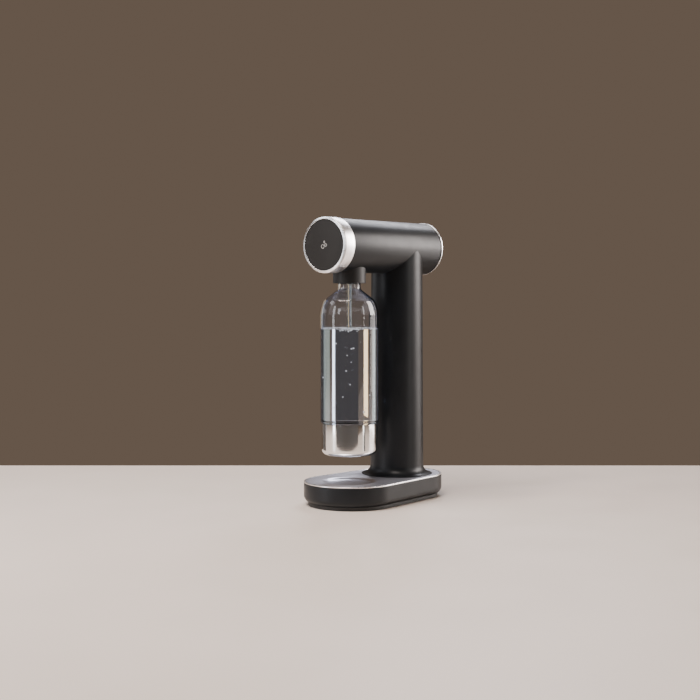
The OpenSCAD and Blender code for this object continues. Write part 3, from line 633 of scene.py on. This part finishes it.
def column():
    """Tapered casing with a thin lip and a flare at its foot."""
    flare = 13.3 * MM
    lip = 1.0 * MM
    rest = 2 * MM
    bore = 35.6 * MM
    steps = 12
    foot_r = FLARE_R - flare
    top_r = SHELL_R - 0.45 * MM
    start = PLATE_TOP + 0.02 * MM
    lip_top = PLATE_TOP + lip
    base_z = lip_top + flare
    outer = rounded([
        (FLARE_R - rest, start, 0),
        (FLARE_R, start, 0.25 * MM),
        (FLARE_R, lip_top, 0.4 * MM),
        (FLARE_R - rest, lip_top + 0.1 * MM, 0),
    ], 4)[:-1]
    outer += arc(FLARE_R, base_z, flare, 266, 180, 24)
    straight = HEAD_Z - SHELL_R - 30 * MM
    slope = (foot_r - top_r) / (HEAD_Z - base_z)
    for k in range(1, steps + 1):
        height = base_z + (straight - base_z) * k / steps
        outer.append((foot_r - slope * (height - base_z), height))
    stand_for(saddle_tube("column_casing", outer, bore, 0, COLUMN_Y), "column_shell")


def collar():
    """Collar under the head that the bottle's neck goes into."""
    bore = 20.2 * MM
    radius = half_width("bottle_holder")
    low = bottom_of("bottle_holder")
    outer = rounded([
        (bore, low, 0),
        (radius, low, 0.35 * MM),
        (radius, low + 2 * MM, 0),
    ], 5)[1:]
    stand_for(saddle_tube("bottle_collar", outer, bore, 0, BOTTLE_Y, rows=12), "bottle_holder")


def head_lathe(name, node, corners, closed=True):
    """A turned piece of the head, with corners of (radius, place, rounding)."""
    outline = rounded(corners, 5)
    piece = lathe(name, outline, z=HEAD_Z, along="Y", closed=closed, segments=ROUND_SEGMENTS)
    stand_for(piece, node)


def head():
    """Tube, front ring and band, and the cap with its ring at the back."""
    ring_y = front_of("front_ring")
    groove_y = back_of("front_ring")
    band_y = front_of("front_band")
    band_end = back_of("front_band")
    shell_end = back_of("head_shell")
    cap_y = back_of("back_cap")
    ring_end = back_of("back_ring")
    spigot_r = BORE_R + 1.5 * MM
    band_bore = spigot_r + 0.05 * MM
    back_bore = HEAD_R - 2.2 * MM
    cap_r = HEAD_R - 2.3 * MM
    skirt_r = BORE_R - 0.1 * MM
    skirt_bore = BORE_R - 2 * MM
    cap_inner = shell_end - 0.6 * MM
    skirt_end = shell_end - 8 * MM
    head_lathe("head_casing", "head_shell", [
        (BORE_R, groove_y, 0),
        (spigot_r, groove_y, 0),
        (spigot_r, band_end, 0),
        (SHELL_R, band_end, 0.2 * MM),
        (SHELL_R, shell_end, 0.2 * MM),
        (BORE_R, shell_end, 0),
    ])
    head_lathe("front_trim", "front_ring", [
        (BORE_R, ring_y, 0.3 * MM),
        (HEAD_R, ring_y + 1.0 * MM, 0.6 * MM),
        (HEAD_R, groove_y, 0.25 * MM),
        (BORE_R, groove_y, 0),
    ])
    head_lathe("band", "front_band", [
        (band_bore, band_y, 0),
        (HEAD_R, band_y, 0.35 * MM),
        (HEAD_R, band_end, 0.35 * MM),
        (band_bore, band_end, 0),
    ])
    head_lathe("back_trim", "back_ring", [
        (back_bore, shell_end, 0),
        (HEAD_R, shell_end, 0.3 * MM),
        (HEAD_R, ring_end, 0.5 * MM),
        (back_bore, ring_end, 0.2 * MM),
    ])
    head_lathe("rear_cap", "back_cap", [
        (0, cap_y, 0),
        (cap_r, cap_y, 0.4 * MM),
        (cap_r, shell_end, 0),
        (skirt_r, shell_end, 0),
        (skirt_r, skirt_end, 0),
        (skirt_bore, skirt_end, 0),
        (skirt_bore, cap_inner, 0),
        (0, cap_inner, 0),
    ], closed=False)


def button():
    """Round front button with a generic mark: three rings, like rising bubbles."""
    sunk = 0.03 * MM
    raised = 0.05 * MM
    # Half the width of a ring's line, and each ring's place across, place up and radius, in mm
    half_line = 0.28
    bubbles_at = [(-2.6, -2.4, 2.6), (2.8, -0.4, 1.9), (0.2, 4.0, 1.3)]
    low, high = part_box("button_disc")
    radius = (high.x - low.x) / 2
    face = lathe("button_face", rounded([
        (0, low.y, 0),
        (radius, low.y, 0.45 * MM),
        (radius, high.y, 0),
        (0, high.y, 0),
    ], 5), z=HEAD_Z, along="Y", closed=False, segments=ROUND_SEGMENTS)
    stand_for(face, "button_disc")
    for k, (across, up, size) in enumerate(bubbles_at):
        inner = (size - half_line) * MM
        outer = (size + half_line) * MM
        ring = [
            (inner, low.y + sunk),
            (inner, low.y - raised),
            (outer, low.y - raised),
            (outer, low.y + sunk),
        ]
        mark = lathe(f"mark_{k}", ring, x=across * MM, z=HEAD_Z + up * MM, along="Y", segments=48)
        dress(mark, MARK)
        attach(mark, "button")


def spring():
    """Coil under the plunger's head."""
    low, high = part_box("plunger_spring")
    wire = 0.45 * MM
    turns = 5
    per_turn = 28
    sides = 10
    middle = (low.y + high.y) / 2
    radius = half_width("plunger_spring") - wire
    steps = turns * per_turn
    verts = []
    for k in range(steps + 1):
        a = TURN * k / per_turn
        height = low.z + wire + (high.z - low.z - 2 * wire) * k / steps
        for i in range(sides):
            b = TURN * i / sides
            reach = radius + wire * math.cos(b)
            up = height + wire * math.sin(b)
            verts.append((reach * math.cos(a), middle + reach * math.sin(a), up))
    rings = [list(range(k * sides, (k + 1) * sides)) for k in range(steps + 1)]
    faces = skin(rings, False) + [tuple(rings[0]), tuple(rings[-1])]
    piece = make_mesh("spring_coil", verts, faces, sharp=50)
    slot = slot_of("plunger_spring")
    dress(piece, SLOTS[slot])
    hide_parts("plunger_spring")
    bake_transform(piece)


# ---------- bottle ----------

BODY_R = half_width("bottle_body")
MOUTH_Z = top_of("bottle_body")
NECK_R = 16.3 * MM
NECK_H = 25 * MM
CUP_R = half_width("bottle_cup")
CUP_BOTTOM = bottom_of("bottle_cup")
CUP_TOP = top_of("bottle_cup")
FOOT_R = CUP_R - 1.0 * MM
BOTTLE_FLOOR = bottom_of("bottle_body")
STEP_Z = CUP_TOP + 1.0 * MM
SHOULDER_Z = MOUTH_Z - 66.4 * MM
WALL = 1.6 * MM
MOUTH_WALL = 2.7 * MM
CUP_WALL = 0.8 * MM
WATER_Z = 255.6 * MM


def shoulder(inset):
    """Arcs from the wall up over the shoulder and into the neck, for a wall shrunk by an inset."""
    dome = 57 * MM
    dome_end = 23.8
    corner = 12 * MM
    corner_end = 52.0
    fillet = 6 * MM
    a = math.radians(dome_end)
    c = math.radians(corner_end)
    dome_u = BODY_R - dome
    corner_u = dome_u + (dome - corner) * math.cos(a)
    corner_z = SHOULDER_Z + (dome - corner) * math.sin(a)
    fillet_u = NECK_R + fillet
    fillet_z = corner_z + (corner + fillet - (fillet_u - corner_u) * math.cos(c)) / math.sin(c)
    points = arc(dome_u, SHOULDER_Z, dome - inset, 0, dome_end, 16)
    points += arc(corner_u, corner_z, corner - inset, dome_end, corner_end, 12)[1:]
    points += arc(fillet_u, fillet_z, fillet + inset, 180 + corner_end, 180, 12)
    return points


def bottle_side(inset):
    """The bottle's side from its foot to its neck."""
    foot_edge = 12 * MM - inset
    step_edge = 1.2 * MM - inset * 0.4
    foot = rounded([
        (0, BOTTLE_FLOOR + inset, 0),
        (FOOT_R - inset, BOTTLE_FLOOR + inset, foot_edge),
        (FOOT_R - inset, STEP_Z + inset, step_edge),
        (BODY_R - inset, STEP_Z + inset, step_edge),
        (BODY_R - inset, SHOULDER_Z, 0),
    ], 8)
    return foot[:-1] + shoulder(inset)


def bottle():
    """Clear bottle with two thread beads round its neck and a rounded mouth."""
    mouth_r = NECK_R - MOUTH_WALL
    below = MOUTH_Z - 4 * MM
    lip = 0.6 * MM
    mouth = rounded([
        (NECK_R, below, 0),
        (NECK_R, MOUTH_Z, lip),
        (mouth_r, MOUTH_Z, lip),
        (mouth_r, below, 0),
    ], 4)
    beads = []
    for share in (0.45, 0.7):
        beads += arc(NECK_R - 0.3 * MM, MOUTH_Z - NECK_H * (1 - share), 1.0 * MM, -72, 72, 8)
    outline = bottle_side(0) + beads + mouth + bottle_side(WALL)[::-1]
    piece = lathe("bottle", outline, y=BOTTLE_Y, closed=False, segments=ROUND_SEGMENTS)
    stand_for(piece, "bottle_body")


def water():
    """Water that reaches just into the bottle's wall, with its edge drawn up at the surface."""
    overlap = WALL - 0.12 * MM
    side = [p for p in bottle_side(overlap) if p[1] < WATER_Z - 3 * MM]
    radius = BODY_R - overlap
    surface = [
        (radius, WATER_Z + 0.6 * MM),
        (radius - 0.4 * MM, WATER_Z + 0.15 * MM),
        (radius - 1.2 * MM, WATER_Z),
        (0, WATER_Z),
    ]
    piece = lathe("water", side + surface, y=BOTTLE_Y, closed=False, segments=ROUND_SEGMENTS)
    dress(piece, WATER)
    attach(piece, "bottle")


def ball(verts, faces, x, y, z, radius, rings=6, sides=8):
    """Adds one small round bubble to a mesh's lists."""
    first = len(verts)
    verts.append((x, y, z - radius))
    for i in range(1, rings):
        a = math.pi * i / rings - math.pi / 2
        for j in range(sides):
            b = TURN * j / sides
            flat = radius * math.cos(a)
            up = z + radius * math.sin(a)
            verts.append((x + flat * math.cos(b), y + flat * math.sin(b), up))
    verts.append((x, y, z + radius))
    last = len(verts) - 1
    for j in range(sides):
        k = (j + 1) % sides
        faces.append((first, first + 1 + k, first + 1 + j))
        faces.append((last, last - sides + j, last - sides + k))
        for i in range(rings - 2):
            row = first + 1 + i * sides
            faces.append((row + j, row + k, row + sides + k, row + sides + j))


def bubbles():
    """Foam round the water line and the tube, and a few bubbles that rise or cling."""
    at_rim = 420
    at_tube = 80
    in_water = 14
    draw = random.Random(7)
    verts = []
    faces = []

    def put(angle, reach, height, size):
        x = reach * math.cos(angle)
        y = BOTTLE_Y + reach * math.sin(angle)
        ball(verts, faces, x, y, height, size)

    rim = BODY_R - WALL - 0.5 * MM
    for _ in range(at_rim):
        a = draw.uniform(0, TURN)
        size = draw.uniform(0.35, 0.85) * MM
        reach = rim - size - draw.random() ** 2 * 5 * MM
        put(a, reach, WATER_Z + size * 0.25, size)
    for _ in range(at_tube):
        a = draw.uniform(0, TURN)
        size = draw.uniform(0.3, 0.9) * MM
        reach = draw.uniform(4.2, 13) * MM
        depth = draw.random() ** 4 * 5 * MM - size * 0.3
        put(a, reach, WATER_Z - depth, size)
    for _ in range(in_water):
        a = draw.uniform(0, TURN)
        size = draw.uniform(0.6, 1.1) * MM
        reach = draw.uniform(2, 30) * MM
        height = draw.uniform(CUP_TOP + 15 * MM, WATER_Z - 14 * MM)
        put(a, reach, height, size)
    piece = make_mesh("bubbles", verts, faces, sharp=80)
    dress(piece, FOAM)
    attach(piece, "bottle")


def cup():
    """Steel cup round the bottle's foot."""
    edge = 9 * MM
    lip = 0.35 * MM
    inner_r = CUP_R - CUP_WALL
    inner_z = CUP_BOTTOM + CUP_WALL
    outline = rounded([
        (0, CUP_BOTTOM, 0),
        (CUP_R, CUP_BOTTOM, edge),
        (CUP_R, CUP_TOP, lip),
        (inner_r, CUP_TOP, lip),
        (inner_r, inner_z, edge - CUP_WALL),
        (0, inner_z, 0),
    ], 12)
    piece = lathe("steel_cup", outline, y=BOTTLE_Y, closed=False, segments=ROUND_SEGMENTS)
    stand_for(piece, "bottle_cup")


def tube():
    """Clear carbonating tube and its tip, with a fine outlet."""
    radius = half_width("carbonating_tube")
    bore = 1.7 * MM
    outlet = 0.6 * MM
    taper = 1.5 * MM
    low = bottom_of("carbonating_tube")
    high = top_of("carbonating_tube")
    outline = [(bore, low), (radius, low), (radius, high), (bore, high)]
    stand_for(lathe("clear_pipe", outline, y=BOTTLE_Y, segments=64), "carbonating_tube")
    tip = bottom_of("nozzle_tip")
    chamber = tip + 3 * MM
    outline = rounded([
        (outlet, tip, 0),
        (radius - taper, tip, 0.3 * MM),
        (radius, tip + taper, 0.5 * MM),
        (radius, low, 0),
        (bore, low, 0),
        (bore, chamber, 0),
        (outlet, chamber, 0),
    ], 4)
    stand_for(lathe("pipe_tip", outline, y=BOTTLE_Y, segments=64), "nozzle_tip")


# ---------- stage, light and camera ----------

CAMERA_AT = Vector((1.1999, -1.4460, 0.3042))
CAMERA_LENS = 64.97
CAMERA_SHIFT = -0.0785
LOOK = Vector((-0.6537, 0.7568, 0)).normalized()
RIGHT = Vector((LOOK.y, -LOOK.x, 0))


def around(turn, distance):
    """A place round the object, at a turn in degrees from the camera's side, right positive."""
    a = math.radians(turn)
    return RIGHT * distance * math.sin(a) - LOOK * distance * math.cos(a)


def stage_sheet(name, corners, paint):
    """A flat sheet that is staging and not part of the object."""
    mesh = bpy.data.meshes.new(name)
    mesh.from_pydata(corners, [], [(0, 1, 2, 3)])
    plane = place_object(name, mesh)
    dress(plane, paint)
    return plane


def floor():
    """A pale table top that ends a little behind the object."""
    wide = 3.0
    near = -0.96
    far = 0.375
    places = [(-wide, near), (wide, near), (wide, far), (-wide, far)]
    paint = Paint("floor_paint", (0.93, 0.82, 0.74), 0.42)
    paint.vary("Roughness", paint.noise(9, detail=4), 0.38, 0.46)
    stage_sheet("floor", [RIGHT * x + LOOK * y for x, y in places], paint)


def light(name, turn, distance, up, width, height, power, colour, aim_z, role="soft"):
    """A softbox that faces a point on the upright axis, and that the camera doesn't see.

    A "gloss" box lights only by reflection, and a "panel" shows only through clear parts."""
    panel = role == "panel"
    lamp = bpy.data.lights.new(name, "AREA")
    lamp.shape = "RECTANGLE"
    lamp.size = width
    lamp.size_y = height
    lamp.energy = power
    lamp.color = colour
    box = place_object(name, lamp)
    box.location = around(turn, distance) + Vector((0, 0, up))
    aim = Vector((0, 0, aim_z)) - box.location
    box.rotation_euler = aim.to_track_quat("-Z", "Y").to_euler()
    box.visible_camera = False
    box.visible_transmission = panel
    box.visible_diffuse = role == "soft"
    box.visible_glossy = not panel


def card(name, turn, distance, low, high, width, colour):
    """An upright dark card, seen only in reflections and through clear parts."""
    middle = around(turn, distance)
    side = Vector((-middle.y, middle.x, 0)).normalized() * width / 2
    places = [(-1, low), (1, low), (1, high), (-1, high)]
    corners = [middle + side * k + Vector((0, 0, z)) for k, z in places]
    plane = stage_sheet(name, corners, Paint(name + "_paint", colour, 0.9))
    plane.visible_camera = False
    plane.visible_shadow = False
    plane.visible_diffuse = False


COOL = (0.92, 0.95, 1.0)
WARM = (1.0, 0.92, 0.88)

# Name, turn, distance, height of its middle, width, own height, power, colour,
# height it faces, and its role where it is not a soft one
LIGHTS = [
    ("key_right", 103, 1.35, 0.74, 0.6, 0.74, 25, WARM, 0.35, "gloss"),
    ("side_right", 106, 1.35, 0.28, 0.8, 0.9, 11, WARM, 0.2, "gloss"),
    ("side_left", -122, 1.35, 0.25, 0.7, 0.6, 1.5, COOL, 0.2),
    ("top_back", 165, 1.6, 1.53, 1.0, 0.5, 19, (0.93, 0.93, 1.0), 0.2),
    ("ring_top", -90, 1.35, 1.15, 0.5, 0.4, 3, COOL, 0.37),
    ("ring_side", -42, 1.3, 0.62, 0.16, 0.4, 1.5, COOL, 0.37),
    ("strip_left", -64, 1.3, 0.4, 0.2, 1.0, 5, COOL, 0.2),
    ("strip_right", 58, 1.3, 0.4, 0.1, 1.0, 2.6, (1.0, 0.98, 0.94), 0.2),
    ("top_front", -38, 0.9, 1.9, 1.2, 0.8, 52, (1.0, 0.9, 0.83), 0.0),
    # Panels behind that show as stripes in the water
    ("panel_white", 165, 1.6, 0.2, 0.1, 0.9, 1.0, COOL, 0.2, "panel"),
    ("panel_cream", -161, 1.6, 0.34, 0.16, 0.62, 1.1, (1.0, 0.66, 0.32), 0.34, "panel"),
    ("panel_green", -143, 1.6, 0.2, 0.32, 0.9, 0.7, (0.8, 0.88, 0.74), 0.2, "panel"),
    ("panel_edge", 149, 1.6, 0.2, 0.55, 0.9, 0.75, (0.74, 0.84, 0.68), 0.2, "panel"),
]

# Name, turn, distance, bottom, top, width, colour
CARDS = [
    ("back_card", 179, 1.62, -0.3, 0.212, 0.62, (0.075, 0.07, 0.072)),
    ("line_card", 53, 0.36, 0.0, 0.3, 0.045, (0.12, 0.12, 0.12)),
    ("left_card", -112, 0.36, 0.0, 0.3, 0.16, (0.16, 0.16, 0.16)),
    ("front_card", -11, 0.5, 0.0, 0.35, 0.9, (0.1, 0.1, 0.1)),
]


def lights():
    """Softboxes, dark cards and a plain brown backdrop."""
    for row in LIGHTS:
        light(*row)
    for row in CARDS:
        card(*row)
    world = bpy.data.worlds.new("studio")
    world.use_nodes = True
    backdrop = world.node_tree.nodes["Background"]
    backdrop.inputs["Color"].default_value = (0.138, 0.1, 0.074, 1)
    backdrop.inputs["Strength"].default_value = 1.0
    bpy.context.scene.world = world


def camera():
    """Camera at the photograph's angle."""
    lens = bpy.data.cameras.new("camera")
    lens.lens = CAMERA_LENS
    lens.sensor_width = 36
    lens.shift_y = CAMERA_SHIFT
    lens.clip_end = 50
    seat = place_object("camera", lens)
    seat.location = CAMERA_AT
    seat.rotation_euler = LOOK.to_track_quat("-Z", "Y").to_euler()
    bpy.context.scene.camera = seat


dress_cad_nodes()
base_shell()
base_rim()
base_foot()
base_plate()
column()
collar()
head()
button()
spring()
bottle()
water()
bubbles()
cup()
tube()
floor()
lights()
camera()

bpy.context.view_layer.update()
